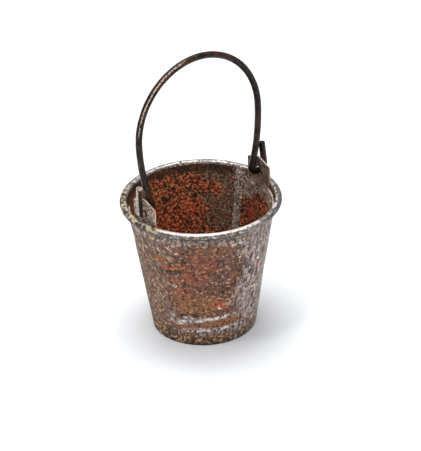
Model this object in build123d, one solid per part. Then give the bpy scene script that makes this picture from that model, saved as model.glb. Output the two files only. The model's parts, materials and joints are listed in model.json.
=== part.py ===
"""A small tapered pail of galvanised sheet steel, with a wired rim, two riveted ears and a round-rod bail.

Millimetres. The origin is the centre of the ring that the pail stands on, +Z is up, and X is parallel to the
bail's pivot axis, which passes a little to the -Y side of the pail's axis, because the ears are not quite
opposite each other. Each function returns one loose piece of the pail. Both ears and their rivets are made
at +X, with a side of -1 for the right ear and 1 for the left, which is then turned half way round.
"""
from build123d import *
from math import asin, cos, degrees, radians, sin, sqrt, tan
import os

# Body sheet: one tapered sheet, curled over a wire at the top and hemmed round the bottom plate
SHEET = 0.7                     # thickness of the body sheet and the bottom plate
FOLD_GAP = 0.05                 # between layers that are folded or riveted together
TAPER = 9.0                     # degrees that the wall leans out from the vertical
RIM_OUTER_RADIUS = 70.0
RIM_HEIGHT = 120.3              # height of the rim wire's centre
CURL_RADIUS = 3.1               # outside radius of the curled edge
CURL_FREE_EDGE = -125.0         # direction, in the rim's section, where the curled edge ends
HEM_HEIGHT = 4.5                # how far the folded edge comes back up inside the foot
HEM_CORNER = 0.65
WIRE_CLEARANCE = 0.1

# Lap seam of the body sheet, given as azimuths about Z
LAP_START = 16.2                # outer free edge
LAP_END = 25.0                  # inner free edge
LAP_ROOT = 0.2                  # how far the inner layer is sunk into the outer one
LAP_GROOVE_ARC = 0.8
LAP_GROOVE_DEPTH = 0.4
LAP_BOTTOM = 7.0
LAP_TOP = 117.0

# Bottom plate
FLOOR_TOP = 6.2                 # height of its upper face
FLOOR_CORNER = 1.2

# Ears: a flat lug above the rim, blending into a curved base with one long wing
EAR_THICKNESS = 1.4
LUG_HALF_WIDTH = 15.5
LUG_INNER_FACE = 60.3           # distance of the lug's inner face from the pail's axis
LUG_FOOT = 5.5                  # the lug is flat from this far above the rim's plane
LUG_SHOULDER = 17.8
LUG_PEAK = 22.8
LUG_CORNER = 2.5
LUG_CROWN = 6.0
BASE_TOP = -3.3                 # the base is fully curved from this far below the rim's plane
BASE_SHORT_DEPTH = -13.5
BASE_LONG_DEPTH = -17.0
BASE_CORNER = 2.0
WING_BELLY = -26.0              # where the wing's lower edge starts to rise
WING_TIP = (-42.0, -6.0)
WING_TOP_MIDDLE = (-30.0, -3.6)
EAR_ARC = (-50.0, 22.0)         # azimuths that hold the whole base
OFF_CENTRE = 3.5                # of both ears' holes from the pail's diameter, towards -Y

# Rivets, three for each ear
RIVET_AZIMUTHS = (8.5, -8.0, -26.0)
RIVET_DROP = 9.0                # below the rim's plane
RIVET_SHANK_RADIUS = 1.5
RIVET_HOLE_RADIUS = 1.6
RIVET_HEAD_RADIUS = 3.4
RIVET_HEAD_HEIGHT = 1.7
RIVET_TAIL_RADIUS = 2.7
RIVET_TAIL_HEIGHT = 1.3
RIVET_TAIL_GAP = 0.15           # keeps the flat tail off the hollow side of the ear

# Bail: one round rod, a half circle on two long side arcs, hooked through the ears
ROD_RADIUS = 3.0
PIVOT_RISE = 9.0                # pivot axis above the rim's plane
PIVOT_HOLE_RADIUS = 3.4
BAIL_HALF_WIDTH = 62.7          # rod centre at the widest point, and radius of the top
BAIL_WIDEST = 63.0              # height of the widest point above the pivot
SIDE_RADIUS = 180.0
BEND_RADIUS = 5.0
HOOK_BEND_RADIUS = 4.6
HOOK_BEND_CENTRE = 62.2         # distance from the middle of the bail
HOOK_LEAN = 4.8                 # degrees that the hook's end leans back towards the lug
HOOK_TOP = 26.0                 # above the pivot
BAIL_LEAN = 2.0                 # degrees from upright at rest, towards +Y

# Sizes that follow from the ones above
HALF_TURN = 180
EAR_TURN = degrees(asin(OFF_CENTRE / (LUG_INNER_FACE + EAR_THICKNESS / 2)))
CURL_CENTRE = RIM_OUTER_RADIUS - CURL_RADIUS
CURL_BORE = CURL_RADIUS - SHEET
TAPER_COS = cos(radians(TAPER))
TAPER_SIN = sin(radians(TAPER))
TAPER_TAN = tan(radians(TAPER))
PIVOT_HEIGHT = RIM_HEIGHT + PIVOT_RISE
FLANGE_DEPTH = SHEET + FOLD_GAP             # depths count inwards from the wall's outer face
HEM_DEPTH = FLANGE_DEPTH + SHEET + FOLD_GAP
EAR_DEPTH = SHEET + FOLD_GAP


def wall_radius(height, depth=0.0):
    """Radius, at a height, of a surface that lies a depth inside the wall's outer face."""
    return CURL_CENTRE - (CURL_BORE + depth) / TAPER_COS - (RIM_HEIGHT - height) * TAPER_TAN


def wall_point(height, depth=0.0):
    return wall_radius(height, depth), height


def section(points):
    """A closed outline of radius and height, upright in the XZ plane."""
    return Plane.XZ * make_face(Polyline(*points, close=True))


def wall_layer(low, high, depth, thickness=SHEET):
    """The section of a layer of sheet that runs along the wall."""
    return section([
        wall_point(low, depth),
        wall_point(high, depth),
        wall_point(high, depth + thickness),
        wall_point(low, depth + thickness),
    ])


def turned(face, start=0.0, end=360.0):
    """A section turned about Z from one azimuth to another."""
    return Rot(0, 0, start) * revolve(face, Axis.Z, end - start)


def wall_section():
    """The hemmed foot, the wall and the curl over the wire, as one folded sheet."""
    outline = make_face(Polyline(
        wall_point(0),
        wall_point(RIM_HEIGHT + CURL_BORE * TAPER_SIN),
        wall_point(RIM_HEIGHT + CURL_RADIUS * TAPER_SIN, SHEET),
        wall_point(SHEET, SHEET),
        wall_point(SHEET, HEM_DEPTH),
        wall_point(HEM_HEIGHT, HEM_DEPTH),
        wall_point(HEM_HEIGHT, HEM_DEPTH + SHEET),
        wall_point(0, HEM_DEPTH + SHEET),
        close=True,
    ))
    foot_corners = outline.vertices().group_by(Axis.Y)[0]
    return Plane.XZ * (fillet(foot_corners, HEM_CORNER) + curl())


def curl():
    """The section of the edge that is rolled outwards over the rim wire."""
    centre = (CURL_CENTRE, RIM_HEIGHT)
    sweep_angle = 180 - TAPER - CURL_FREE_EDGE
    outside = CenterArc(centre, CURL_RADIUS, CURL_FREE_EDGE, sweep_angle)
    inside = CenterArc(centre, CURL_BORE, CURL_FREE_EDGE, sweep_angle)
    return make_face([outside, Line(outside @ 1, inside @ 1), inside, Line(inside @ 0, outside @ 0)])


def lap_layer():
    """The inner layer of the lap seam, sunk a little into the wall so that the two are one sheet."""
    root = SHEET - LAP_ROOT
    return turned(wall_layer(LAP_BOTTOM, LAP_TOP, root, SHEET + LAP_ROOT), LAP_START, LAP_END)


def lap_groove():
    """The narrow step outside, where the outer layer of the lap ends."""
    groove = wall_layer(LAP_BOTTOM, LAP_TOP, -SHEET, SHEET + LAP_GROOVE_DEPTH)
    return turned(groove, LAP_START - LAP_GROOVE_ARC, LAP_START)


def body_wall():
    body = turned(wall_section()) + lap_layer() - lap_groove()
    return body - rivet_holes(-EAR_TURN) - rivet_holes(HALF_TURN + EAR_TURN)


def rim_wire():
    return Pos(0, 0, RIM_HEIGHT) * Torus(CURL_CENTRE, CURL_BORE - WIRE_CLEARANCE)


def bottom_plate():
    """A flat disc whose turned-down flange sits between the wall and the hem."""
    flange_foot = SHEET + FOLD_GAP
    underside = FLOOR_TOP - SHEET
    outline = make_face(Polyline(
        (0, FLOOR_TOP),
        wall_point(FLOOR_TOP, FLANGE_DEPTH),
        wall_point(flange_foot, FLANGE_DEPTH),
        wall_point(flange_foot, FLANGE_DEPTH + SHEET),
        wall_point(underside, FLANGE_DEPTH + SHEET),
        (0, underside),
        close=True,
    ))
    outer_corner = outline.vertices().group_by(Axis.Y)[-1].sort_by(Axis.X)[-1]
    return turned(Plane.XZ * fillet(outer_corner, FLOOR_CORNER))


def rivet_place(azimuth):
    """Where a rivet's axis meets the wall's outer face, with Z pointing out of the wall."""
    angle = radians(azimuth)
    radius, height = wall_point(RIM_HEIGHT - RIVET_DROP)
    outwards = (TAPER_COS * cos(angle), TAPER_COS * sin(angle), -TAPER_SIN)
    return Plane(origin=(radius * cos(angle), radius * sin(angle), height), z_dir=outwards).location


def rivet_holes(turn):
    """The holes for one ear's rivets, turned about Z from +X."""
    reach = 4 * (SHEET + EAR_THICKNESS)
    hole = Cylinder(RIVET_HOLE_RADIUS, reach)
    return [Rot(0, 0, turn) * rivet_place(azimuth) * hole for azimuth in RIVET_AZIMUTHS]


def rivet():
    """A domed head outside the wall, a shank through wall and ear, and a lower domed tail inside."""
    head_seat = FOLD_GAP
    tail_seat = -(EAR_DEPTH + EAR_THICKNESS + RIVET_TAIL_GAP)
    head = dome(RIVET_HEAD_RADIUS, RIVET_HEAD_HEIGHT)
    tail = dome(RIVET_TAIL_RADIUS, RIVET_TAIL_HEIGHT)
    middle_of_shank = Pos(0, 0, (head_seat + tail_seat) / 2)
    shank = middle_of_shank * Cylinder(RIVET_SHANK_RADIUS, head_seat - tail_seat)
    return Pos(0, 0, head_seat) * head + shank + Pos(0, 0, tail_seat) * Rot(HALF_TURN, 0, 0) * tail


def dome(radius, height):
    """The cap of a ball, flat underneath, standing on the XY plane."""
    ball_radius = (radius ** 2 + height ** 2) / (2 * height)
    ball = Pos(0, 0, height - ball_radius) * Sphere(ball_radius)
    return ball & Pos(0, 0, height / 2) * Cylinder(radius + height, height)


def rivets(side):
    """The three rivets of one ear, at +X."""
    places = [rivet_place(azimuth + side * EAR_TURN) for azimuth in RIVET_AZIMUTHS]
    return Compound([(place * rivet()).solid() for place in places])


def ear_base(shift):
    """The part of the ear that follows the inside of the wall, with its long wing towards -Y."""
    top = RIM_HEIGHT + BASE_TOP
    tip = (WING_TIP[0], RIM_HEIGHT + WING_TIP[1])
    short_corner = (LUG_HALF_WIDTH, RIM_HEIGHT + BASE_SHORT_DEPTH)
    belly = (WING_BELLY, RIM_HEIGHT + BASE_LONG_DEPTH)
    lower_edge = Line(short_corner, belly)
    upper_edge = ThreePointArc(
        tip, (WING_TOP_MIDDLE[0], RIM_HEIGHT + WING_TOP_MIDDLE[1]), (-LUG_HALF_WIDTH, top))
    outline = make_face([
        Line((LUG_HALF_WIDTH, top), short_corner),
        lower_edge,
        TangentArc(belly, tip, tangent=lower_edge % 1),
        upper_edge,
        Line((-LUG_HALF_WIDTH, top), (LUG_HALF_WIDTH, top)),
    ])
    corner = outline.vertices().sort_by_distance(short_corner)[0]
    outline = fillet(corner, BASE_CORNER)
    low = RIM_HEIGHT + BASE_LONG_DEPTH - SHEET * 2
    shell = turned(wall_layer(low, top, EAR_DEPTH, EAR_THICKNESS), *EAR_ARC)
    return shell & Pos(0, shift, 0) * extrude(Plane.YZ * outline, RIM_OUTER_RADIUS)


def ear_arc(radius, shift):
    """As much of a circle about the pail's axis as is as wide as the lug."""
    low = shift - LUG_HALF_WIDTH
    high = shift + LUG_HALF_WIDTH
    start = (sqrt(radius ** 2 - low ** 2), low)
    end = (sqrt(radius ** 2 - high ** 2), high)
    return ThreePointArc(start, (radius, 0), end)


def ear_blend(shift):
    """The part of the ear that turns the curved base into the flat lug."""
    low = RIM_HEIGHT + BASE_TOP
    outer_arc = ear_arc(wall_radius(low, EAR_DEPTH), shift)
    inner_arc = ear_arc(wall_radius(low, EAR_DEPTH + EAR_THICKNESS), shift)
    curved = make_face([
        outer_arc,
        Line(outer_arc @ 1, inner_arc @ 1),
        inner_arc,
        Line(inner_arc @ 0, outer_arc @ 0),
    ])
    middle_of_lug = LUG_INNER_FACE + EAR_THICKNESS / 2
    flat = Pos(middle_of_lug, shift) * Rectangle(EAR_THICKNESS, 2 * LUG_HALF_WIDTH)
    return loft([Pos(0, 0, low) * curved, Pos(0, 0, RIM_HEIGHT + LUG_FOOT) * flat.face()], ruled=True)


def ear_lug(shift):
    """The flat upper part of the ear, square to X, with sloping shoulders and a rounded crown."""
    foot = RIM_HEIGHT + LUG_FOOT
    shoulder = RIM_HEIGHT + LUG_SHOULDER
    outline = make_face(Polyline(
        (-LUG_HALF_WIDTH, foot),
        (-LUG_HALF_WIDTH, shoulder),
        (0, RIM_HEIGHT + LUG_PEAK),
        (LUG_HALF_WIDTH, shoulder),
        (LUG_HALF_WIDTH, foot),
        close=True,
    ))
    crown = outline.vertices().group_by(Axis.Y)[-1]
    outline = fillet(crown, LUG_CROWN)
    shoulders = [v for v in outline.vertices() if abs(v.Y - shoulder) < SHEET]
    outline = fillet(shoulders, LUG_CORNER)
    return Pos(LUG_INNER_FACE, shift, 0) * extrude(Plane.YZ * outline, EAR_THICKNESS)


def ear(side):
    """One ear at +X, with its hole off the diameter on the given side."""
    shift = side * OFF_CENTRE
    pivot_hole = Pos(LUG_INNER_FACE, shift, PIVOT_HEIGHT) * Rot(0, 90, 0) * Cylinder(
        PIVOT_HOLE_RADIUS, 10 * EAR_THICKNESS)
    return ear_base(shift) + ear_blend(shift) + ear_lug(shift) - pivot_hole - rivet_holes(side * EAR_TURN)


def bail_side():
    """The rod's centre line from the top's right end to the tip of the right hook."""
    side_centre = (BAIL_HALF_WIDTH - SIDE_RADIUS, BAIL_WIDEST)
    centres_apart = SIDE_RADIUS + BEND_RADIUS
    drop = BAIL_WIDEST - BEND_RADIUS
    side_angle = degrees(asin(drop / centres_apart))
    bend_centre = side_centre[0] + sqrt(centres_apart ** 2 - drop ** 2)
    side = CenterArc(side_centre, SIDE_RADIUS, 0, -side_angle)
    bend = CenterArc((bend_centre, BEND_RADIUS), BEND_RADIUS, 180 - side_angle, 90 + side_angle)
    through_ear = Line((bend_centre, 0), (HOOK_BEND_CENTRE, 0))
    hook_centre = (HOOK_BEND_CENTRE, HOOK_BEND_RADIUS)
    hook_bend = CenterArc(hook_centre, HOOK_BEND_RADIUS, -90, 90 + HOOK_LEAN)
    hook_foot = hook_bend @ 1
    hook_rise = HOOK_TOP - hook_foot.Y
    hook_tip = (hook_foot.X - hook_rise * tan(radians(HOOK_LEAN)), HOOK_TOP)
    return [side, bend, through_ear, hook_bend, Line(hook_foot, hook_tip)]


def bail():
    """The bent rod, with its pivot axis parallel to X, through the middles of the ears' holes."""
    right = bail_side()
    top = CenterArc((0, BAIL_WIDEST), BAIL_HALF_WIDTH, 0, 180)
    left = [edge.mirror(Plane.YZ) for edge in right]
    path = Plane.XZ * Wire([*right, top, *left])
    end = path @ 0
    rod_section = Plane(origin=end, z_dir=path % 0) * Circle(ROD_RADIUS)
    return Pos(0, -OFF_CENTRE, PIVOT_HEIGHT) * Rot(-BAIL_LEAN, 0, 0) * sweep(rod_section, path)


def pieces():
    to_left = Rot(0, 0, HALF_TURN)
    return {
        "body_wall": body_wall(),
        "rim_wire": rim_wire(),
        "bottom_plate": bottom_plate(),
        "ear_right": ear(-1),
        "ear_left": to_left * ear(1),
        "rivets_right": rivets(-1),
        "rivets_left": to_left * rivets(1),
        "bail": bail(),
    }


os.makedirs("parts", exist_ok=True)
for name, shape in pieces().items():
    export_step(shape, f"parts/{name}.step")
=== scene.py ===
"""Looks of a small rusty galvanised pail: a worn sheet-steel body, two ears, their rivets and an iron bail.

Metres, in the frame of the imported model: the origin is the middle of the foot ring, +Z is up and X is
parallel to the bail's pivot.
"""

import json
from math import asin, cos, degrees, pi, radians, sin, sqrt, tan

import bpy
from mathutils import Matrix, Vector, noise


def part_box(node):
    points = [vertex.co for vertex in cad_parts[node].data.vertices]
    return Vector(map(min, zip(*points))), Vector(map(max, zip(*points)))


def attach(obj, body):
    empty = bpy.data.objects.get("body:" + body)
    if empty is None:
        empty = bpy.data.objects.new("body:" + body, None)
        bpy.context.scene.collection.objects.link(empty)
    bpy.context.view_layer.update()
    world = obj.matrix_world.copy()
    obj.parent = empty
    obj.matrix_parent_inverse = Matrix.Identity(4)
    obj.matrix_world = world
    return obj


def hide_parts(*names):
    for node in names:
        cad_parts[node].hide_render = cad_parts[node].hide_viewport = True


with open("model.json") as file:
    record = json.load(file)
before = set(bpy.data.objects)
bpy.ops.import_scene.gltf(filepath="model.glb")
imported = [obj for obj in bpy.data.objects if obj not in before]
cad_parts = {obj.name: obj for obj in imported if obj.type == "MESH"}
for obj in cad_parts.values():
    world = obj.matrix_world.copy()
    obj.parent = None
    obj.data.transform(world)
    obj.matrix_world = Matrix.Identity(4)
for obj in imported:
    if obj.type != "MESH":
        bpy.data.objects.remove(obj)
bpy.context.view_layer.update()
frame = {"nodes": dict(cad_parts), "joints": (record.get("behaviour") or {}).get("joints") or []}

# Camera: a telephoto view from above the pail's front, rolled a little
VIEW_AZIMUTH = radians(-36.0)
VIEW_ELEVATION = radians(29.44)
VIEW_ROLL = radians(-1.75)
VIEW_DISTANCE = 2.2
VIEW_LENS = 202.5
AIM_HEIGHT = 0.09
AIM_RIGHT = 0.00754
AIM_UP = 0.0036

# Light
SKY_LOW = 0.34
SKY_HIGH = 0.66
SKY_RISE = 0.7
SKY_COLOUR = (0.96, 0.98, 1.0, 1.0)
SOFTBOX_SIZE = 0.9
SOFTBOX_POWER = 19.0
SOFTBOX_PLACE = (0.08, 0.22, 1.9)
GLINT_SIZE = 0.2
GLINT_POWER = 4.0
GLINT_PLACE = (-0.55, -0.15, 1.75)
PAPER_GLOW = 0.09
FLOOR_HALF = 4.0

# The body sheet, as it was folded
WALL_LOW, WALL_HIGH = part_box("body_wall")
SHEET = 0.0007
FOLD = SHEET + 0.00005
TAPER = radians(9.0)
CURL_RADIUS = 0.0031
CURL_BORE = CURL_RADIUS - SHEET
CURL_CENTRE = WALL_HIGH.x - CURL_RADIUS
RIM_HEIGHT = WALL_HIGH.z - CURL_RADIUS
CURL_FREE_EDGE = -125.0
HEM_HEIGHT = 0.0045
HEM_CORNER = 0.0006
LAP_START = 16.2
LAP_END = 25.0
LAP_EDGE = 0.12
LAP_BOTTOM = 0.007
LAP_TOP = 0.117
GROOVE_ARC = 0.8
GROOVE_DEPTH = 0.0004
WALL_STEPS = 288
WALL_ROWS = 90

# Dents, ripples and pits in the sheet: their sizes across and their depths, and how strong the pits' noise
# has to be before there is a pit
DENT_SIZE = 0.034
DENT_DEPTH = 0.0011
RIPPLE_SIZE = 0.009
RIPPLE_DEPTH = 0.00010
PIT_SIZE = 0.0028
PIT_DEPTH = 0.00028
PIT_LEVEL = 0.15

# Where dents begin and where they reach their full depth: degrees from an ear's middle, heights below the
# ears, and above the foot
DENTS_BEGIN_BESIDE = 46
DENTS_FULL_BESIDE = 66
DENTS_BEGIN_BELOW = 0.102
DENTS_FULL_BELOW = 0.092
DENTS_FULL_ABOVE_FOOT = 0.012

# The bail's rod
PIVOT = Vector(frame["joints"][0]["pos_m"])
ROD_RADIUS = 0.003
BAIL_LEAN = radians(2.0)
BAIL_HALF_WIDTH = 0.0627
BAIL_WIDEST = 0.063
SIDE_RADIUS = 0.18
BEND_RADIUS = 0.005
HOOK_BEND_RADIUS = 0.0046
HOOK_BEND_CENTRE = 0.0622
HOOK_LEAN = 4.8
HOOK_TOP = 0.026
HOOK_MIDDLE = HOOK_BEND_CENTRE + HOOK_BEND_RADIUS - HOOK_TOP / 2 * tan(radians(HOOK_LEAN))
HOOK_INSIDE = HOOK_MIDDLE - ROD_RADIUS + 0.0003
HOOK_END = PIVOT.z + HOOK_TOP
ROD_SIDES = 28
ROD_SWELL_SIZE = 0.011
ROD_SWELL_DEPTH = 0.00009
ROD_PIT_SIZE = 0.003
ROD_PIT_DEPTH = 0.00010

# Distances from an end of the rod, and how much of its full thickness it has there
END_ROUNDING = ((0.0, 0.80), (0.00035, 0.94), (0.0009, 1.0))

# The ears and rivets: the voxels they are remeshed with, and how deep their faces are worn
EAR_VOXEL = 0.0004
EAR_WEAR = 0.00012
RIVET_VOXEL = 0.00025
RIVET_WEAR = 0.00008

# That wear comes in patches of this size, which are larger the higher the level is
WEAR_SIZE = 0.0035
WEAR_LEVEL = 0.3

# The cut edges are rounded by this many passes of smoothing. A point that they move by this share of a
# voxel is fully on an edge
SMOOTHING = 5
EDGE_ROUNDING = 0.6

# The azimuth of the pail's worn front in degrees, and the middle radius of its wall
FRONT = 234.0
MEAN_RADIUS = 0.058


# ---------------------------------------------------------------- meshes

def new_object(name, vertices, faces, materials, face_materials=None):
    """A smooth-shaded mesh object at the origin."""
    mesh = bpy.data.meshes.new(name)
    mesh.from_pydata(vertices, [], faces)
    for material in materials:
        mesh.materials.append(material)
    if face_materials:
        mesh.polygons.foreach_set("material_index", face_materials)
    mesh.polygons.foreach_set("use_smooth", [True] * len(mesh.polygons))
    mesh.update()
    made = bpy.data.objects.new(name, mesh)
    bpy.context.scene.collection.objects.link(made)
    return made


def crease_by_angle(made, angle=40):
    """Keeps edges sharper than the angle, in degrees, crisp in a smooth-shaded mesh."""
    made.data.set_sharp_from_angle(angle=radians(angle))


def evaluated_mesh(made):
    """The mesh that an object's modifiers give."""
    bpy.context.view_layer.update()
    return bpy.data.meshes.new_from_object(made.evaluated_get(bpy.context.evaluated_depsgraph_get()))


def arc(centre, radius, start, end, steps):
    """Points on an arc, both ends included, from one direction in degrees to another."""
    directions = [radians(start + (end - start) * i / steps) for i in range(steps + 1)]
    return [(centre[0] + radius * cos(a), centre[1] + radius * sin(a)) for a in directions]


def between(first, last, steps):
    """Evenly spaced points on a straight line, both ends included."""
    return [
        tuple(a + (b - a) * i / steps for a, b in zip(first, last))
        for i in range(steps + 1)
    ]


def smoothstep(low, high, value):
    """0 at low and 1 at high with a smooth step between. Low may be the larger number."""
    t = min(1.0, max(0.0, (value - low) / (high - low)))
    return t * t * (3 - 2 * t)


def wall_point(height, depth=0.0):
    """Radius and height of a surface that lies a depth inside the wall's outer face."""
    radius = CURL_CENTRE - (CURL_BORE + depth) / cos(TAPER) - (RIM_HEIGHT - height) * tan(TAPER)
    return radius, height


def wall_profile():
    """The folded sheet's section as one closed loop: (part of the sheet, its points) in order."""
    hem_depth = 2 * FOLD
    curl = (CURL_CENTRE, RIM_HEIGHT)
    tangent = 180 - degrees(TAPER)
    neck_outer = wall_point(RIM_HEIGHT + CURL_BORE * sin(TAPER))
    neck_inner = wall_point(RIM_HEIGHT + CURL_RADIUS * sin(TAPER), SHEET)
    foot_radius = wall_point(0)[0]
    corner_centre = (foot_radius - HEM_CORNER, HEM_CORNER)
    return [
        ("outside", arc(corner_centre, HEM_CORNER, -90, 0, steps=5)[:-1]),
        ("outside", between(wall_point(2 * HEM_CORNER), neck_outer, WALL_ROWS)),
        ("rim", arc(curl, CURL_BORE, tangent, CURL_FREE_EDGE, steps=28)[1:]),
        ("rim", arc(curl, CURL_RADIUS, CURL_FREE_EDGE, tangent, steps=40)[:-1]),
        ("inside", between(neck_inner, wall_point(SHEET, SHEET), WALL_ROWS)),
        ("inside", [
            wall_point(SHEET, hem_depth),
            wall_point(HEM_HEIGHT, hem_depth),
            wall_point(HEM_HEIGHT, hem_depth + SHEET),
            wall_point(HEM_CORNER, hem_depth + SHEET),
            wall_point(0, hem_depth + SHEET - HEM_CORNER),
        ]),
    ]


def wall_azimuths():
    """Even steps round the wall, with the edges of the lap seam and its groove added."""
    seam = [LAP_START - GROOVE_ARC - LAP_EDGE, LAP_START - GROOVE_ARC, LAP_START, LAP_START + LAP_EDGE,
            LAP_END - LAP_EDGE, LAP_END]
    even = [i * 360 / WALL_STEPS for i in range(WALL_STEPS)]
    kept = [a for a in even if min(abs(a - edge) for edge in seam) > LAP_EDGE]
    return sorted(kept + seam)


def seam_inset(part, azimuth, height):
    """How far the lap seam moves this place on the sheet towards the pail's axis."""
    if not LAP_BOTTOM < height < LAP_TOP:
        return 0.0
    if part == "inside":
        on_lap = LAP_START + LAP_EDGE / 2 < azimuth < LAP_END - LAP_EDGE / 2
        return SHEET * on_lap
    in_groove = LAP_START - GROOVE_ARC - LAP_EDGE / 2 < azimuth < LAP_START - LAP_EDGE / 2
    return GROOVE_DEPTH * (part == "outside" and in_groove)


def wall_wear(place, azimuth):
    """Shallow dents and hammer marks, always inwards, and none where the ears are riveted on."""
    from_ear = min(azimuth % 180, 180 - azimuth % 180)
    clear_of_ears = smoothstep(DENTS_BEGIN_BESIDE, DENTS_FULL_BESIDE, from_ear)
    below_ears = smoothstep(DENTS_BEGIN_BELOW, DENTS_FULL_BELOW, place.z)
    free = max(clear_of_ears, below_ears) * smoothstep(0.0, DENTS_FULL_ABOVE_FOOT, place.z)
    dents = max(0.0, noise.noise(place / DENT_SIZE)) * DENT_DEPTH
    ripples = (noise.noise(place / RIPPLE_SIZE) + 1) * RIPPLE_DEPTH
    pits = max(0.0, noise.noise(place / PIT_SIZE) - PIT_LEVEL) * PIT_DEPTH
    return free * dents + free * ripples + pits


def make_body(materials):
    """The body sheet: hem, tapered wall with its lap seam, and curled rim, as one closed surface."""
    profile = [(part, point) for part, points in wall_profile() for point in points]
    azimuths = wall_azimuths()
    rows = len(profile)
    vertices = []
    for azimuth in azimuths:
        angle = radians(azimuth)
        for part, (radius, height) in profile:
            place = Vector((radius * cos(angle), radius * sin(angle), height))
            inset = seam_inset(part, azimuth, height) + wall_wear(place, azimuth)
            vertices.append(((radius - inset) * cos(angle), (radius - inset) * sin(angle), height))
    faces = []
    slots = []
    order = {"outside": 0, "rim": 1, "inside": 2}
    for i in range(len(azimuths)):
        here = i * rows
        there = (i + 1) % len(azimuths) * rows
        for j in range(rows):
            k = (j + 1) % rows
            faces.append((here + j, there + j, there + k, here + k))
            slots.append(order[profile[j][0]])
    body = new_object("pail_body", vertices, faces, materials, slots)
    crease_by_angle(body)
    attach(body, "pail")
    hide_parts("body_wall")
    return body


def worn_copy(node, name, voxel, wear, material):
    """A CAD piece with its cut edges rounded and its faces roughened, inside its own outline.

    The attribute "edge" says how far each point was rounded off, from 0 on a face to 1 on an edge.
    """
    rough = bpy.data.objects.new(name + "_rough", frame["nodes"][node].data.copy())
    bpy.context.scene.collection.objects.link(rough)
    remesh = rough.modifiers.new("remesh", "REMESH")
    remesh.mode = "VOXEL"
    remesh.voxel_size = voxel
    sharp = evaluated_mesh(rough)
    smooth = rough.modifiers.new("smooth", "SMOOTH")
    smooth.iterations = SMOOTHING
    mesh = evaluated_mesh(rough)
    bpy.data.objects.remove(rough)
    places = [vertex.co.copy() for vertex in mesh.vertices]
    normals = [vertex.normal.copy() for vertex in mesh.vertices]
    edge = mesh.attributes.new("edge", "FLOAT", "POINT")
    for i, (place, normal) in enumerate(zip(places, normals)):
        rounded = (place - sharp.vertices[i].co).length
        edge.data[i].value = min(1.0, rounded / (EDGE_ROUNDING * voxel))
        inwards = max(0.0, noise.noise(place / WEAR_SIZE) + WEAR_LEVEL) * wear
        mesh.vertices[i].co = place - normal * inwards
    mesh.materials.clear()
    mesh.materials.append(material)
    mesh.polygons.foreach_set("use_smooth", [True] * len(mesh.polygons))
    piece = bpy.data.objects.new(name, mesh)
    bpy.context.scene.collection.objects.link(piece)
    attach(piece, "pail")
    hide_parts(node)
    return piece


def bail_side():
    """Points of the rod's centre line from the end of the top's half circle to the tip of the hook."""
    side_centre = BAIL_HALF_WIDTH - SIDE_RADIUS
    drop = BAIL_WIDEST - BEND_RADIUS
    centres_apart = SIDE_RADIUS + BEND_RADIUS
    side_angle = degrees(asin(drop / centres_apart))
    bend_centre = side_centre + sqrt(centres_apart ** 2 - drop ** 2)
    side = arc((side_centre, BAIL_WIDEST), SIDE_RADIUS, 0, -side_angle, steps=40)
    bend = arc((bend_centre, BEND_RADIUS), BEND_RADIUS, 180 - side_angle, 270, steps=14)
    hook_bend = arc((HOOK_BEND_CENTRE, HOOK_BEND_RADIUS), HOOK_BEND_RADIUS, -90, HOOK_LEAN, steps=14)
    foot = hook_bend[-1]
    tip = (foot[0] - (HOOK_TOP - foot[1]) * tan(radians(HOOK_LEAN)), HOOK_TOP)
    return side[1:] + bend[1:] + hook_bend + between(foot, tip, steps=14)[1:]


def bail_line():
    """The whole centre line, from the left hook's tip over the top to the right hook's tip."""
    right = bail_side()
    top = arc((0, BAIL_WIDEST), BAIL_HALF_WIDTH, 180, 0, steps=96)
    left = [(-across, up) for across, up in reversed(right)]
    return left + top + right


def bail_rings():
    """The rod's rings in order: each one's centre, the rod's direction there and its share of thickness."""
    line = [Vector((across, 0, up)) for across, up in bail_line()]
    tangents = [
        (line[min(i + 1, len(line) - 1)] - line[max(i - 1, 0)]).normalized()
        for i in range(len(line))
    ]
    rings = [(line[0] + tangents[0] * along, tangents[0], scale) for along, scale in END_ROUNDING]
    rings += [(point, tangent, 1.0) for point, tangent in list(zip(line, tangents))[1:-1]]
    rings += [
        (line[-1] - tangents[-1] * along, tangents[-1], scale)
        for along, scale in reversed(END_ROUNDING)
    ]
    return rings


def make_bail(material):
    """The bent rod, with slightly uneven sides and flat-cut ends whose edges are worn round."""
    rings = bail_rings()
    normal = Vector((0, 1, 0))
    lean = Matrix.Rotation(-BAIL_LEAN, 3, "X")
    vertices = []
    for centre, tangent, scale in rings:
        outwards = normal.cross(tangent)
        for side in range(ROD_SIDES):
            angle = 2 * pi * side / ROD_SIDES
            direction = outwards * cos(angle) + normal * sin(angle)
            place = centre + direction * ROD_RADIUS
            swells = (noise.noise(place / ROD_SWELL_SIZE) + 1) * ROD_SWELL_DEPTH
            pits = max(0.0, noise.noise(place / ROD_PIT_SIZE)) * ROD_PIT_DEPTH
            vertices.append(PIVOT + lean @ (centre + direction * (ROD_RADIUS * scale - (swells + pits))))
    faces = []
    for i in range(len(rings) - 1):
        for j in range(ROD_SIDES):
            k = (j + 1) % ROD_SIDES
            here = i * ROD_SIDES
            there = here + ROD_SIDES
            faces.append((here + j, here + k, there + k, there + j))
    last = (len(rings) - 1) * ROD_SIDES
    faces.append(tuple(range(ROD_SIDES))[::-1])
    faces.append(tuple(range(last, last + ROD_SIDES)))
    made = new_object("bail_rod", vertices, faces, [material])
    crease_by_angle(made)
    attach(made, "bail")
    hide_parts("bail")
    return made


# ---------------------------------------------------------------- materials

def tone(red, green, blue):
    """A colour given as it looks on a screen, 0 to 255, turned into light."""
    parts = [part / 255 for part in (red, green, blue)]
    light = [p / 12.92 if p <= 0.04045 else ((p + 0.055) / 1.055) ** 2.4 for p in parts]
    return (*light, 1.0)


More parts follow.
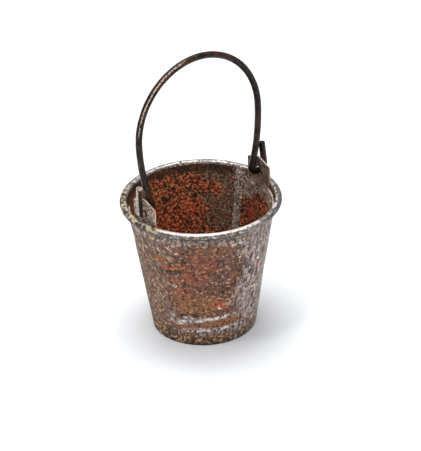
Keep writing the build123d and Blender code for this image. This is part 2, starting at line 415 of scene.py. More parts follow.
# Rust
RUST_BROWN = tone(122, 83, 64)
RUST_RED = tone(156, 78, 60)
RUST_PURPLE = tone(100, 82, 82)
RUST_ORANGE = tone(196, 104, 54)
RUST_LIGHT = tone(206, 156, 122)
RUST_DARK = tone(70, 48, 38)
RUST_BLACK = tone(32, 24, 20)
RUST_OCHRE = tone(154, 104, 60)
RUST_CREAM = tone(244, 208, 150)

# Zinc, thick, worn dull on the left side, and stained at the foot
ZINC_GREY = tone(128, 106, 94)
ZINC_LILAC = tone(160, 138, 138)
ZINC_LIGHT = tone(184, 162, 152)
ZINC_WHITE = tone(240, 226, 216)
ZINC_BROWN = tone(108, 86, 70)
ZINC_DARK = tone(56, 46, 42)
DULL_BROWN = tone(120, 88, 70)
DULL_GREY = tone(128, 104, 88)
SCRATCH = tone(200, 168, 136)
FOOT_BROWN = tone(64, 48, 34)
FOOT_OCHRE = tone(130, 90, 46)

# Inside the pail
DEEP_RED = tone(136, 60, 38)
DEEP_BROWN = tone(104, 66, 42)
DEEP_BLACK = tone(44, 29, 21)
HOT_RED = tone(184, 66, 42)
HOT_ORANGE = tone(224, 106, 54)
HOT_OCHRE = tone(228, 152, 92)
OLIVE = tone(104, 92, 68)
OLIVE_BLACK = tone(40, 36, 30)
SEAM_GREY = tone(172, 156, 138)
SEAM_LIGHT = tone(222, 208, 190)

# The rim, the ears and their rivets
RIM_WHITE = tone(238, 230, 226)
RIM_GREY = tone(150, 142, 140)
RIM_OCHRE = tone(210, 190, 152)
# Dirt, also used as the painted shade under the rim's roll
DIRT_AND_SHADE = tone(58, 50, 46)
EAR_BROWN = tone(114, 94, 76)
EAR_GREY = tone(162, 146, 130)
EAR_PINK = tone(158, 136, 130)
EAR_CREAM = tone(250, 226, 204)
EAR_ORANGE = tone(236, 160, 104)

# The bail, and the floor of the scene
IRON_BLACK = tone(28, 19, 15)
IRON_OLIVE = tone(66, 46, 30)
IRON_RED = tone(82, 38, 27)
IRON_GREY = tone(88, 64, 46)
IRON_SHADOW = tone(14, 11, 10)
IRON_CREAM = tone(240, 204, 186)
PAPER = tone(250, 252, 255)


class Graph:
    """The nodes of one metal's material. Lengths are in metres and directions in degrees."""

    def __init__(self, name):
        self.material = bpy.data.materials.new(name)
        self.material.use_nodes = True
        self.nodes = self.material.node_tree.nodes
        self.links = self.material.node_tree.links
        self.shader = self.nodes["Principled BSDF"]
        self.place = self.nodes.new("ShaderNodeTexCoord").outputs["Object"]
        parts = self.add("ShaderNodeSeparateXYZ", {0: self.place})
        self.x, self.y, self.true_height = parts.outputs
        turn = radians(LAP_START + 180)
        ahead = self.plus(self.times(self.x, cos(turn)), self.times(self.y, sin(turn)))
        aside = self.minus(self.times(self.y, cos(turn)), self.times(self.x, sin(turn)))
        angle = self.maths("ARCTAN2", aside, ahead)
        self.true_azimuth = self.plus(self.times(angle, 180 / pi), LAP_START + 180)
        arc_length = self.times(angle, MEAN_RADIUS)
        self.flat = self.add("ShaderNodeCombineXYZ", {0: arc_length, 1: self.true_height}).outputs[0]
        self.azimuth = self.true_azimuth
        self.height = self.true_height

    def add(self, kind, inputs, **settings):
        """Adds a node with its settings, and links or sets each of its inputs."""
        node = self.nodes.new(kind)
        for name, value in settings.items():
            setattr(node, name, value)
        for socket, value in inputs.items():
            if isinstance(value, bpy.types.NodeSocket):
                self.links.new(value, node.inputs[socket])
            else:
                node.inputs[socket].default_value = value
        return node

    def maths(self, operation, first, second=0.0):
        return self.add("ShaderNodeMath", {0: first, 1: second}, operation=operation).outputs[0]

    def plus(self, first, second):
        return self.maths("ADD", first, second)

    def minus(self, first, second):
        return self.maths("SUBTRACT", first, second)

    def times(self, first, second):
        return self.maths("MULTIPLY", first, second)

    def most(self, first, *others):
        for other in others:
            first = self.maths("MAXIMUM", first, other)
        return first

    def rise(self, value, low, high):
        """0 at low and 1 at high with a smooth step between. Low may be the larger number."""
        inputs = {"Value": value, "From Min": low, "From Max": high}
        return self.add("ShaderNodeMapRange", inputs, interpolation_type="SMOOTHSTEP").outputs[0]

    def band(self, value, low, high, soft):
        """1 between low and high, fading to 0 over the soft distance outside each."""
        return self.times(self.rise(value, low - soft, low), self.rise(value, high + soft, high))

    def noise(self, size, detail=3.0, roughness=0.6, seed=0.0, place=None):
        """Cloudy noise, mostly between 0.3 and 0.7, with features of about this size.

        Each seed gives another pattern, the same on every run.
        """
        inputs = {"Scale": 1 / size, "Detail": detail, "Roughness": roughness, "W": seed}
        inputs["Vector"] = place or self.place
        return self.add("ShaderNodeTexNoise", inputs, noise_dimensions="4D").outputs[0]

    def streaks(self, angle, length, width, seed=0.0, detail=3.0):
        """Noise drawn out along the wall in one direction, measured upwards from level."""
        inputs = {"Vector": self.flat, "Rotation": (0, 0, radians(angle)), "Scale": (length, width, 1)}
        drawn = self.add("ShaderNodeMapping", inputs, vector_type="TEXTURE").outputs[0]
        return self.noise(1.0, detail, seed=seed, place=drawn)

    def blend(self, amount, first, second):
        inputs = {0: amount, 6: first, 7: second}
        return self.add("ShaderNodeMix", inputs, data_type="RGBA").outputs[2]

    def cloud(self, size, seed, first, second):
        """Two colours in soft clouds of about this size."""
        return self.blend(self.rise(self.noise(size, seed=seed), 0.42, 0.58), first, second)

    def speckle(self, field, colour, dark, light, clear=0.045, soft=0.07):
        """The colour, with dark marks where the field is low and light ones where it is high.

        The field leaves the colour alone within clear of its middle, and soft is how far beyond that a mark
        becomes solid.
        """
        low, high = 0.5 - clear, 0.5 + clear
        colour = self.blend(self.rise(field, high, high + soft), colour, light)
        return self.blend(self.rise(field, low, low - soft), colour, dark)

    def number(self, amount, first, second):
        """A number that goes from first to second."""
        return self.plus(self.times(amount, second - first), first)

    def roughen_places(self, coarse, fine):
        """Makes the edges of later patches ragged, by this many metres."""
        self.azimuth = self.true_azimuth
        self.height = self.true_height
        for size, reach, seed in ((0.014, coarse, 31.0), (0.003, fine, 47.0)):
            sideways = self.minus(self.noise(size, seed=seed), 0.5)
            upwards = self.minus(self.noise(size, seed=seed + 5), 0.5)
            degrees_wide = degrees(reach / MEAN_RADIUS)
            self.azimuth = self.plus(self.azimuth, self.times(sideways, 2 * degrees_wide))
            self.height = self.plus(self.height, self.times(upwards, 2 * reach))

    def past(self, azimuth, reach, seed):
        """How many degrees past an upright line that wanders by up to the reach."""
        line = self.number(self.noise(0.03, seed=seed), azimuth - reach, azimuth + reach)
        return self.minus(self.azimuth, line)

    def patch(self, azimuth, height, half_angle, half_height, soft=0.3, slope=0.0):
        """1 inside an oval on the wall and 0 outside it. The slope is in metres per degree."""
        aside = self.minus(self.azimuth, azimuth)
        across = self.times(aside, 1 / half_angle)
        above = self.minus(self.minus(self.height, height), self.times(aside, slope))
        up = self.times(above, 1 / half_height)
        away = self.plus(self.times(across, across), self.times(up, up))
        return self.rise(away, (1 + soft) ** 2, (1 - soft) ** 2)

    def patches(self, colour, ovals, amount=1.0):
        """The colour with ovals of other colours on it.

        Each oval is its azimuth, height, half angle, half height and colour.
        """
        for azimuth, height, half_angle, half_height, other in ovals:
            inside = self.patch(azimuth, height, half_angle, half_height)
            colour = self.blend(self.times(inside, amount), colour, other)
        return colour

    def finish(self, colour, roughness, metallic, relief, depth):
        """Joins the colour, finish and surface relief to the shader."""
        bump = self.add("ShaderNodeBump", {"Height": relief, "Distance": depth, "Strength": 1.0})
        self.links.new(colour, self.shader.inputs["Base Color"])
        self.links.new(bump.outputs[0], self.shader.inputs["Normal"])
        for name, value in (("Roughness", roughness), ("Metallic", metallic)):
            if isinstance(value, bpy.types.NodeSocket):
                self.links.new(value, self.shader.inputs[name])
            else:
                self.shader.inputs[name].default_value = value
        return self.material


def rust_colours(graph, grain):
    """Brown rust, purple-grey, red and ochre in places, with a fine light and dark grain."""
    clouded = graph.cloud(0.012, 1.0, RUST_BROWN, RUST_DARK)
    colour = graph.blend(0.55, clouded, RUST_BROWN)
    colour = graph.patches(colour, [
        (259, 0.090, 11, 0.009, RUST_PURPLE), (209, 0.096, 9, 0.006, RUST_PURPLE),
        (206, 0.076, 9, 0.004, RUST_PURPLE), (245, 0.072, 13, 0.006, RUST_PURPLE),
        (227, 0.096, 7, 0.004, RUST_RED), (238, 0.086, 11, 0.006, RUST_RED),
        (231, 0.074, 11, 0.005, RUST_RED), (216, 0.058, 9, 0.004, RUST_RED),
        (247, 0.103, 10, 0.004, RUST_OCHRE), (216, 0.046, 12, 0.008, RUST_OCHRE),
        (240, 0.046, 16, 0.007, RUST_OCHRE), (228, 0.038, 14, 0.003, RUST_OCHRE),
    ], 0.5)
    freckles = graph.noise(0.0030, roughness=0.65, seed=3.0)
    colour = graph.speckle(freckles, colour, RUST_DARK, RUST_ORANGE, 0.04, 0.14)
    return graph.speckle(grain, colour, RUST_BLACK, RUST_LIGHT, 0.05, 0.12)


def zinc_colours(graph, grain, streaks):
    """Weathered grey zinc, lilac and white where it is thickest, with ochre stains and black pits."""
    colour = graph.cloud(0.010, 6.0, ZINC_GREY, ZINC_BROWN)
    thick = graph.most(
        graph.band(graph.azimuth, 275, 281, 4),
        graph.patch(259, 0.1112, 16, 0.0018),
        graph.patch(FRONT - 4, 0.022, 34, 0.007),
        graph.times(graph.rise(graph.noise(0.008, seed=5.0), 0.54, 0.64), 0.6),
    )
    colour = graph.blend(graph.times(thick, 0.85), colour, ZINC_LILAC)
    colour = graph.speckle(streaks, colour, RUST_DARK, ZINC_LIGHT, 0.02, 0.10)
    stains = graph.noise(0.0055, seed=7.0)
    colour = graph.blend(graph.times(graph.rise(stains, 0.55, 0.64), 0.8), colour, RUST_OCHRE)
    colour = graph.speckle(grain, colour, ZINC_DARK, ZINC_WHITE, 0.06, 0.12)
    pits = graph.streaks(86, 0.0085, 0.0034, 8.0, 2.0)
    return graph.speckle(pits, colour, RUST_BLACK, ZINC_LIGHT, 0.07, 0.06)


def dull_side(graph, grain):
    """The left side: dull brown zinc, scratched downwards to the right."""
    scratches = graph.streaks(-50, 0.009, 0.0018, 14.0)
    colour = graph.cloud(0.009, 12.0, DULL_BROWN, DULL_GREY)
    colour = graph.patches(colour, [
        (183, 0.088, 12, 0.010, RUST_BROWN), (188, 0.062, 10, 0.010, RUST_BROWN),
        (170, 0.104, 30, 0.006, ZINC_GREY), (177, 0.032, 22, 0.010, RUST_BROWN),
    ], 0.7)
    colour = graph.speckle(scratches, colour, RUST_DARK, SCRATCH, 0.045, 0.09)
    return graph.speckle(grain, colour, RUST_DARK, SCRATCH, 0.06, 0.08)


def rust_marks(graph, colour, grain):
    """Single marks on the front: bars, an upright streak, a ring, spots and scratches."""
    graph.roughen_places(0.0015, 0.0012)
    unbroken = graph.rise(graph.noise(0.0022, roughness=0.7, seed=16.0), 0.40, 0.50)

    # Azimuth, height, half angle, half height, slope and colour
    marks = [
        # Bars, the last of them upright
        (206, 0.0820, 10, 0.0014, 0.0003, RUST_ORANGE), (205, 0.0790, 9, 0.0010, 0.0003, RUST_BLACK),
        (206, 0.0685, 9, 0.0013, 0.0002, RUST_ORANGE), (220, 0.079, 1.7, 0.009, 0, RUST_ORANGE),
        # A rust spot, the ring and a cream streak
        (195, 0.090, 4, 0.003, 0, RUST_ORANGE), (208, 0.064, 2.0, 0.0018, 0, ZINC_WHITE),
        (267, 0.089, 1.2, 0.005, 0, RUST_CREAM),
        # Scratches at the upper left
        (205, 0.092, 3, 0.0018, -0.0006, SCRATCH), (203, 0.0985, 6, 0.0009, -0.0006, SCRATCH),
        (209, 0.1015, 5, 0.0009, -0.0005, ZINC_WHITE), (201, 0.1025, 4, 0.0008, -0.0005, RUST_DARK),
        (207, 0.0965, 5, 0.0009, -0.0005, RUST_DARK),
        # An orange blotch with a white fleck
        (249, 0.0435, 9, 0.0035, 0, RUST_ORANGE), (249, 0.040, 1.7, 0.0015, 0, ZINC_WHITE),
        # The ragged lower edge of the rust
        (212, 0.0315, 4, 0.0020, 0, RUST_BLACK), (225, 0.0330, 3, 0.0016, 0, RUST_BLACK),
        (217, 0.0300, 5, 0.0012, 0, ZINC_WHITE), (236, 0.0290, 6, 0.0011, 0, ZINC_WHITE),
        # Pits in the zinc strip, and flecks of zinc beside it
        (276, 0.0960, 2.8, 0.0024, 0, RUST_BLACK), (279, 0.0860, 2.8, 0.0026, 0, RUST_BLACK),
        (275, 0.0775, 2.6, 0.0024, 0, RUST_BLACK), (280, 0.0700, 3.0, 0.0024, 0, RUST_BLACK),
        (273, 0.0625, 2.6, 0.0022, 0, RUST_BLACK), (278, 0.0560, 2.8, 0.0022, 0, RUST_BLACK),
        (258, 0.0440, 3.0, 0.0022, 0, ZINC_LIGHT), (263, 0.0500, 3.4, 0.0026, 0, ZINC_LIGHT),
        (266, 0.0570, 2.6, 0.0024, 0, ZINC_LIGHT), (263, 0.1060, 4.0, 0.0012, 0, ZINC_WHITE),
        # White fringes above and below the slash
        (222, 0.0262, 13, 0.0013, 0.00010, ZINC_WHITE), (250, 0.0298, 14, 0.0014, 0.00010, ZINC_WHITE),
        (230, 0.0160, 15, 0.0013, 0.00010, ZINC_WHITE), (258, 0.0175, 12, 0.0013, 0, ZINC_WHITE),
    ]
    for azimuth, height, half_angle, half_height, slope, mark in marks:
        inside = graph.patch(azimuth, height, half_angle, half_height, 0.4, slope)
        grainy = graph.blend(graph.rise(grain, 0.50, 0.40), mark, RUST_DARK)
        colour = graph.blend(graph.times(inside, unbroken), colour, grainy)
    ring_middle = graph.patch(208, 0.064, 0.9, 0.0008, 0.4)
    return graph.blend(ring_middle, colour, RUST_DARK)


def rust_slash(graph, spread=0.0):
    """How much a curved slash of rust, made wider by the spread, covers the zinc low on the front."""
    left = FRONT - 30
    right = FRONT + 42
    from_top = graph.minus(graph.azimuth, FRONT + 22)
    middle = graph.minus(0.0235, graph.times(graph.times(from_top, from_top), 2.2e-6))
    off = graph.maths("ABSOLUTE", graph.minus(graph.height, middle))
    widening = graph.number(graph.rise(graph.azimuth, left, right - 12), 0.0012, 0.0032)
    width = graph.times(widening, graph.rise(graph.azimuth, right + 4, right - 20))
    return graph.times(
        graph.rise(graph.minus(off, width), spread + 0.0006, spread - 0.0004),
        graph.band(graph.azimuth, left, right, 3),
    )


def zinc_cover(graph):
    """How much of the outside is the dull left side, and how much is zinc: right, top, low and back."""
    right = graph.times(graph.rise(graph.azimuth, 261, 266), graph.rise(graph.past(335, 60, 12.0), 6, -6))
    top = graph.rise(graph.height, 0.1055, 0.1085)
    low = graph.patch(FRONT + 3, 0.0215, 38, 0.0105)
    dull = graph.times(graph.rise(graph.past(118, 50, 13.0), -8, 8), graph.rise(graph.azimuth, 201, 192))
    back = graph.times(
        graph.times(graph.rise(graph.y, -0.030, -0.012), graph.minus(1.0, dull)),
        graph.rise(graph.noise(0.045, seed=11.0), 0.45, 0.53),
    )
    rust_patch = graph.most(
        graph.patch(FRONT, 0.080, 38, 0.029, 0.12),
        graph.patch(FRONT - 6, 0.050, 32, 0.018, 0.15),
    )
    zinc = graph.times(graph.most(right, top, low, back), graph.minus(1.0, rust_patch))
    return dull, zinc


def dirt_and_shade_under_rim(graph, colour, grain):
    """Olive dirt on the wall under the rolled rim, and a painted shadow just under the roll."""
    under_the_roll = graph.band(graph.height, 0.1130, 0.1160, 0.0014)
    soiled = graph.cloud(0.004, 9.0, OLIVE, ZINC_GREY)
    soiled = graph.speckle(grain, soiled, DIRT_AND_SHADE, ZINC_LIGHT)
    colour = graph.blend(graph.times(under_the_roll, 0.75), colour, soiled)
    # Painted shadow in a thin band right under the roll.
    return graph.blend(graph.rise(graph.true_height, 0.1155, 0.1175), colour, DIRT_AND_SHADE)


def stained_foot(graph, colour, grain):
    """A dark stain round the foot, higher at its left."""
    foot_top = graph.number(graph.rise(graph.azimuth, FRONT, FRONT - 50), 0.0095, 0.0175)
    foot = graph.rise(graph.minus(graph.height, foot_top), 0.0022, -0.0022)
    stain = graph.cloud(0.0034, 18.0, FOOT_BROWN, FOOT_OCHRE)
    stain = graph.speckle(grain, stain, RUST_BLACK, SCRATCH, 0.02, 0.12)
    return graph.blend(graph.times(foot, 0.9), colour, stain)


def outside_sheet():
    """The wall outside: one big rust patch, zinc at the right, top and low down, and rusty marks."""
    graph = Graph("worn_zinc_outside")
    grain = graph.noise(0.0024, detail=2.0, seed=4.0)
    graph.roughen_places(0.006, 0.005)
    dull, zinc = zinc_cover(graph)
    colour = graph.blend(dull, rust_colours(graph, grain), dull_side(graph, grain))
    drawn = graph.streaks(88, 0.008, 0.0026, 15.0)
    colour = graph.blend(zinc, colour, zinc_colours(graph, grain, drawn))
    colour = dirt_and_shade_under_rim(graph, colour, grain)
    colour = stained_foot(graph, colour, grain)
    colour = rust_marks(graph, colour, grain)

    # The slash has a dark outline
    outline = rust_slash(graph, 0.0007)
    colour = graph.blend(graph.times(outline, 0.75), colour, RUST_DARK)
    slash = rust_slash(graph)
    bright = graph.cloud(0.003, 17.0, RUST_OCHRE, RUST_ORANGE)
    colour = graph.blend(slash, colour, graph.speckle(grain, bright, RUST_DARK, RUST_OCHRE, 0.0, 0.08))
    # Painted shade along the wall's lowest two millimetres, next to the floor.
    colour = graph.blend(graph.rise(graph.true_height, 0.0022, 0.0006), colour, RUST_BLACK)

    metal = graph.times(zinc, graph.minus(1.0, slash))
    roughness = graph.number(metal, 0.85, 0.50)
    relief = graph.plus(grain, graph.times(graph.noise(0.005, seed=19.0), 1.5))
    return graph.finish(colour, roughness, graph.times(metal, 0.15), relief, depth=0.0005)


def deep_rust(graph, colour, warm, grain):
    """The colour under coarse orange, ochre and black grains."""
    colour = graph.speckle(warm, colour, DEEP_BLACK, HOT_ORANGE, 0.02, 0.08)
    return graph.speckle(grain, colour, RUST_BLACK, HOT_OCHRE, 0.03, 0.08)


def olive_patches(graph, colour, grain):
    """Dull olive patches on the wall inside, between the middle and the seam."""
    olive = graph.most(
        graph.patch(43, 0.112, 14, 0.007), graph.patch(44, 0.088, 11, 0.006),
        graph.patch(37, 0.074, 14, 0.013), graph.patch(30, 0.096, 7, 0.016),
    )
    dull = graph.cloud(0.006, 24.0, OLIVE, DEEP_BROWN)
    dull = graph.speckle(grain, dull, OLIVE_BLACK, SEAM_GREY, 0.02, 0.14)
    return graph.blend(graph.times(olive, 0.85), colour, dull)


def grey_seam(graph, colour, grain):
    """The lap seam inside, the zinc left round it up to the right ear, and a dark line along its edge."""
    seam = graph.rise(graph.true_azimuth, LAP_END + 2, LAP_END)
    beside = graph.patch(375, 0.110, 13, 0.011)
    grey = graph.cloud(0.007, 25.0, SEAM_GREY, EAR_BROWN)
    grey = graph.speckle(grain, grey, OLIVE_BLACK, SEAM_LIGHT, 0.03, 0.12)
    colour = graph.blend(graph.most(seam, beside), colour, grey)
    edge = graph.band(graph.true_azimuth, LAP_END - 0.3, LAP_END + 0.5, 0.6)
    return graph.blend(graph.times(edge, 0.8), colour, DEEP_BLACK)


def inside_sheet():
    """The wall inside: coarse red and orange rust, painted shade at the top, and a grey lap seam."""
    graph = Graph("rust_inside")
    grain = graph.noise(0.0020, detail=2.0, seed=21.0)
    warm = graph.noise(0.0028, detail=2.0, seed=23.0)
    graph.roughen_places(0.005, 0.004)
    colour = graph.cloud(0.011, 22.0, DEEP_RED, DEEP_BROWN)
    hot = graph.most(
        graph.patch(52, 0.104, 13, 0.005), graph.patch(40, 0.099, 7, 0.005),
        graph.patch(54, 0.081, 17, 0.009), graph.patch(88, 0.070, 26, 0.013),
    )
    colour = graph.blend(graph.times(hot, 0.75), colour, HOT_RED)
    colour = deep_rust(graph, colour, warm, grain)
    colour = olive_patches(graph, colour, grain)
    shade = graph.band(graph.azimuth, 104, 176, 8)
    colour = graph.blend(graph.times(shade, 0.7), colour, DEEP_BROWN)
    # Painted shade on the wall beside the right ear.
    beside_ear = graph.patch(366, 0.086, 16, 0.016)
    colour = graph.blend(graph.times(beside_ear, 0.4), colour, DEEP_BLACK)
    ember = graph.patch(364, 0.083, 4, 0.006)
    colour = graph.blend(graph.times(ember, 0.6), colour, HOT_RED)
    # Painted shade on the inner wall just under the rim.
    shade_under_rim = graph.rise(graph.height, 0.1115, 0.1165)
    colour = graph.blend(graph.times(shade_under_rim, 0.8), colour, DEEP_BLACK)
    colour = grey_seam(graph, colour, grain)
    hem = graph.rise(graph.true_height, 0.009, 0.006)
    colour = graph.blend(graph.times(hem, 0.7), colour, DEEP_BLACK)
    relief = graph.plus(grain, graph.times(warm, 1.5))
    return graph.finish(colour, roughness=0.8, metallic=0.0, relief=relief, depth=0.0006)


def degrees_round_wire(graph):
    """The direction from the rim's wire to a place on the curl, 0 outwards and 90 upwards, made ragged."""
    radius = graph.maths("SQRT", graph.plus(graph.times(graph.x, graph.x), graph.times(graph.y, graph.y)))
    above = graph.minus(graph.true_height, RIM_HEIGHT)
    direction = graph.times(graph.maths("ARCTAN2", above, graph.minus(radius, CURL_CENTRE)), 180 / pi)
    return graph.plus(direction, graph.times(graph.minus(graph.noise(0.006, seed=55.0), 0.5), 50))


def painted_crest_highlight(graph, round_wire):
    """The painted highlight along the rim's crest: less on its outer side at the back, and in patches."""
    forwards = graph.plus(
        graph.times(graph.x, cos(radians(FRONT))),
        graph.times(graph.y, sin(radians(FRONT))),
    )
    crest_start = graph.number(graph.rise(forwards, -0.01, 0.055), 108, 50)
    crest_highlight = graph.times(
        graph.rise(graph.minus(round_wire, crest_start), -6, 6),
        graph.rise(round_wire, 140, 126),
    )
    # The painted highlight is solid across the front, and broken into patches elsewhere.
    unbroken = graph.band(graph.azimuth, 212, 258, 10)
    bright_patches = graph.rise(graph.noise(0.0045, seed=56.0), 0.46, 0.52)
    return graph.times(crest_highlight, graph.most(unbroken, bright_patches))


def rolled_rim():
    """The curled rim: painted highlight on the crest, mottled grey below, and painted shade underneath."""
    graph = Graph("worn_zinc_rim")
    grain = graph.noise(0.0019, detail=2.0, seed=51.0)
    spots = graph.noise(0.0040, detail=1.0, roughness=0.5, seed=53.0)
    round_wire = degrees_round_wire(graph)
    crest_highlight = painted_crest_highlight(graph, round_wire)
    sides = graph.cloud(0.006, 52.0, RIM_GREY, ZINC_BROWN)
    sides = graph.speckle(grain, sides, DIRT_AND_SHADE, RIM_WHITE, 0.06, 0.10)
    soiled = graph.band(graph.azimuth, 290, 335, 12)
    sides = graph.blend(graph.times(soiled, 0.55), sides, DIRT_AND_SHADE)
    colour = graph.blend(crest_highlight, sides, RIM_WHITE)
    mottled = graph.most(
        graph.band(graph.azimuth, 136, 196, 14),
        graph.times(graph.rise(graph.noise(0.012, seed=54.0), 0.52, 0.60), 0.45),
    )
    blotched = graph.speckle(spots, graph.blend(0.5, colour, ZINC_BROWN), DIRT_AND_SHADE, RIM_OCHRE, 0.02, 0.05)
    colour = graph.blend(graph.times(mottled, 0.9), colour, blotched)
    # Painted shade on the roll's lower half, which faces down.
    under_the_roll = graph.rise(graph.minus(round_wire, -18), 8, -8)
    colour = graph.blend(under_the_roll, colour, DIRT_AND_SHADE)
    relief = graph.plus(grain, spots)
    roughness = graph.number(crest_highlight, 0.60, 0.34)
    return graph.finish(colour, roughness, metallic=0.3, relief=relief, depth=0.0002)


def cut_sheet():
    """The ears and rivets: grey zinc and brown rust, with painted highlights on the cut edges."""
    graph = Graph("worn_zinc_ears")
    grain = graph.noise(0.0015, detail=2.0, seed=61.0)
    cloud = graph.noise(0.006, seed=62.0)
    left = graph.rise(graph.x, 0.01, -0.01)
    face = graph.blend(graph.rise(cloud, 0.42, 0.58), EAR_BROWN, EAR_GREY)
    face = graph.blend(graph.times(left, 0.8), face, EAR_PINK)
    colour = graph.speckle(grain, face, RUST_BLACK, graph.blend(left, ZINC_LIGHT, EAR_CREAM), 0.04, 0.10)
    edge = graph.add("ShaderNodeAttribute", {}, attribute_name="edge").outputs["Fac"]
    # Painted highlights on the cut edges, stronger on the left ear.
    edge_highlight = graph.times(graph.rise(edge, 0.05, 0.24), graph.number(left, 0.85, 1.0))
    bright = graph.cloud(0.007, 63.0, EAR_CREAM, EAR_ORANGE)
    bright = graph.blend(left, EAR_CREAM, bright)
    colour = graph.blend(graph.times(edge_highlight, graph.rise(cloud, 0.34, 0.44)), colour, bright)
    relief = graph.plus(grain, cloud)
    return graph.finish(colour, roughness=0.55, metallic=0.25, relief=relief, depth=0.0003)


def painted_shoulder_highlight(graph, grain):
    """A thin painted highlight along the bail's left shoulder, on the side that leans out and to the front.
    """
    above = graph.minus(graph.true_height, PIVOT.z + BAIL_WIDEST)
    from_middle = graph.maths("SQRT", graph.plus(graph.times(graph.x, graph.x), graph.times(above, above)))
    outwards = graph.minus(from_middle, BAIL_HALF_WIDTH)
    direction = graph.times(graph.maths("ARCTAN2", above, graph.x), 180 / pi)
    rod_place = graph.plus(graph.times(above, tan(BAIL_LEAN)), PIVOT.y + BAIL_WIDEST * tan(BAIL_LEAN))
    forwards = graph.minus(rod_place, graph.y)
    return graph.times(
        graph.times(graph.band(direction, 108, 164, 10), graph.rise(forwards, 0.0, 0.0008)),
        graph.times(graph.band(outwards, 0.0017, 0.0021, 0.0004), graph.rise(grain, 0.42, 0.52)),
    )


def bare_hook(graph, grain):
    """How much the left hook is scraped bare, on its flanks and its end."""
    on_hook = graph.times(
        graph.rise(graph.x, 0.0006 - HOOK_INSIDE, -HOOK_INSIDE),
        graph.rise(graph.true_height, HOOK_END + 0.0012, HOOK_END + 0.0004),
    )
    rightwards = radians(FRONT + 90)
    aside = graph.plus(
        graph.times(graph.plus(graph.x, HOOK_MIDDLE), cos(rightwards)),
        graph.times(graph.minus(graph.y, PIVOT.y), sin(rightwards)),
    )
    left_flank = graph.rise(aside, -0.0008, -0.0016)
    flank = graph.most(left_flank, graph.times(graph.rise(aside, 0.0016, 0.0024), 0.6))
    tip = graph.rise(graph.true_height, HOOK_END - 0.0024, HOOK_END - 0.0008)
    bare = graph.times(graph.most(flank, tip), graph.rise(grain, 0.34, 0.46))
    return graph.times(on_hook, bare)


def wrought_iron():
    """The bail: black-brown iron with olive and rust-red lengths, and bare metal at the left hook."""
    graph = Graph("black_iron")
    grain = graph.noise(0.0016, seed=71.0)
    cloud = graph.noise(0.014, seed=72.0)
    colour = graph.blend(graph.rise(cloud, 0.48, 0.62), IRON_BLACK, IRON_OLIVE)
    red = graph.noise(0.009, seed=73.0)
    colour = graph.blend(graph.times(graph.rise(red, 0.56, 0.66), 0.7), colour, IRON_RED)
    colour = graph.speckle(grain, colour, IRON_SHADOW, IRON_GREY, 0.05, 0.12)
    # A painted highlight along the left shoulder.
    colour = graph.blend(graph.times(painted_shoulder_highlight(graph, grain), 0.9), colour, IRON_CREAM)
    scrape = graph.noise(0.0011, detail=2.0, seed=75.0)
    scraped = graph.cloud(0.003, 76.0, IRON_CREAM, SEAM_GREY)
    scraped = graph.speckle(scrape, scraped, IRON_GREY, ZINC_WHITE, 0.03, 0.10)
    colour = graph.blend(bare_hook(graph, grain), colour, scraped)
    relief = graph.plus(grain, graph.times(graph.noise(0.004, seed=74.0), 1.5))
    graph.shader.inputs["Specular IOR Level"].default_value = 0.2
    roughness = graph.number(cloud, 0.12, 0.36)
    return graph.finish(colour, roughness, metallic=0.0, relief=relief, depth=0.00012)


def pail_floor():
    """The bottom plate: the same coarse rust as the wall inside, and browner."""
    graph = Graph("rust_floor")
    grain = graph.noise(0.0024, detail=2.0, seed=81.0)
    warm = graph.noise(0.0034, detail=2.0, seed=83.0)
    colour = deep_rust(graph, graph.cloud(0.015, 82.0, DEEP_BROWN, DEEP_RED), warm, grain)
    colour = graph.blend(0.6, colour, RUST_DARK)
    relief = graph.plus(grain, graph.times(warm, 1.5))
    return graph.finish(colour, roughness=0.85, metallic=0.0, relief=relief, depth=0.0006)


# ---------------------------------------------------------------- stage

def make_camera():
    """A long lens, above the pail's front. A small aim offset sets the pail's place in the frame."""
    right = Vector((cos(VIEW_AZIMUTH), sin(VIEW_AZIMUTH), 0))
    back = Vector((
        sin(VIEW_AZIMUTH) * cos(VIEW_ELEVATION),
        -cos(VIEW_AZIMUTH) * cos(VIEW_ELEVATION),
        sin(VIEW_ELEVATION),
    ))
    up = back.cross(right)
    rolled_right = right * cos(VIEW_ROLL) + up * sin(VIEW_ROLL)
    rolled_up = up * cos(VIEW_ROLL) - right * sin(VIEW_ROLL)
    aim = Vector((0, 0, AIM_HEIGHT)) + rolled_right * AIM_RIGHT + rolled_up * AIM_UP
    data = bpy.data.cameras.new("camera")
    data.lens = VIEW_LENS
    camera = bpy.data.objects.new("camera", data)
    turn = Matrix((rolled_right, rolled_up, back)).transposed()
    camera.matrix_world = Matrix.Translation(aim + back * VIEW_DISTANCE) @ turn.to_4x4()
    bpy.context.scene.collection.objects.link(camera)
    bpy.context.scene.camera = camera


def studio_paper():
    """Pale, cool and matt."""
    material = bpy.data.materials.new("studio_paper")
    material.use_nodes = True
    shader = material.node_tree.nodes["Principled BSDF"]
    shader.inputs["Base Color"].default_value = PAPER
    shader.inputs["Roughness"].default_value = 0.9
    shader.inputs["Emission Color"].default_value = PAPER
    shader.inputs["Emission Strength"].default_value = PAPER_GLOW
    return material


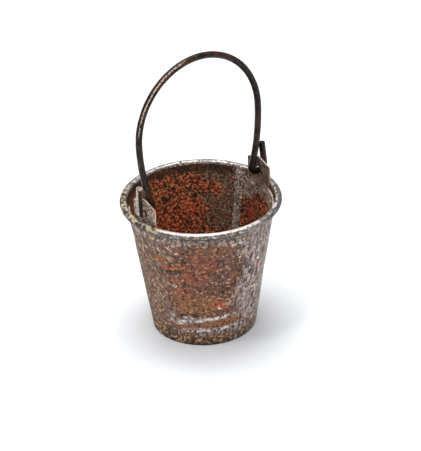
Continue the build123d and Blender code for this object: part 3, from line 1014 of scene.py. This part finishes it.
def make_floor():
    """A wide pale floor at the height that the pail stands on."""
    signs = [(-1, -1), (1, -1), (1, 1), (-1, 1)]
    corners = [(FLOOR_HALF * x, FLOOR_HALF * y, 0) for x, y in signs]
    floor = new_object("floor", corners, [(0, 1, 2, 3)], [studio_paper()])
    floor.location.z = WALL_LOW.z


def area_light(name, place, size, power):
    """A soft square light that faces the pail."""
    data = bpy.data.lights.new(name, "AREA")
    data.size = size
    data.energy = power
    light = bpy.data.objects.new(name, data)
    aim = Vector((0, 0, RIM_HEIGHT / 2))
    light.location = place
    light.rotation_euler = (aim - Vector(place)).to_track_quat("-Z", "Y").to_euler()
    bpy.context.scene.collection.objects.link(light)


def make_light():
    """A sky that is darker near the horizon, a large softbox overhead and a small lamp at its left."""
    world = bpy.data.worlds.new("studio")
    bpy.context.scene.world = world
    world.use_nodes = True
    nodes = world.node_tree.nodes
    links = world.node_tree.links
    direction = nodes.new("ShaderNodeTexCoord").outputs["Generated"]
    parts = nodes.new("ShaderNodeSeparateXYZ")
    ramp = nodes.new("ShaderNodeMapRange")
    limits = {"From Min": 0.0, "From Max": SKY_RISE, "To Min": SKY_LOW, "To Max": SKY_HIGH}
    for name, value in limits.items():
        ramp.inputs[name].default_value = value
    links.new(direction, parts.inputs[0])
    links.new(parts.outputs["Z"], ramp.inputs["Value"])
    links.new(ramp.outputs[0], nodes["Background"].inputs["Strength"])
    nodes["Background"].inputs["Color"].default_value = SKY_COLOUR
    area_light("softbox", SOFTBOX_PLACE, SOFTBOX_SIZE, SOFTBOX_POWER)
    area_light("glint", GLINT_PLACE, GLINT_SIZE, GLINT_POWER)
    bpy.context.scene.view_settings.view_transform = "Standard"


make_camera()
make_floor()
make_light()

make_body([outside_sheet(), rolled_rim(), inside_sheet()])
ear_metal = cut_sheet()
for side in ("left", "right"):
    worn_copy("ear_" + side, "ear_plate_" + side, EAR_VOXEL, EAR_WEAR, ear_metal)
    worn_copy("rivets_" + side, "rivet_set_" + side, RIVET_VOXEL, RIVET_WEAR, ear_metal)
iron = wrought_iron()
make_bail(iron)
frame["nodes"]["bottom_plate"].material_slots[0].material = pail_floor()
frame["nodes"]["rim_wire"].material_slots[0].material = iron
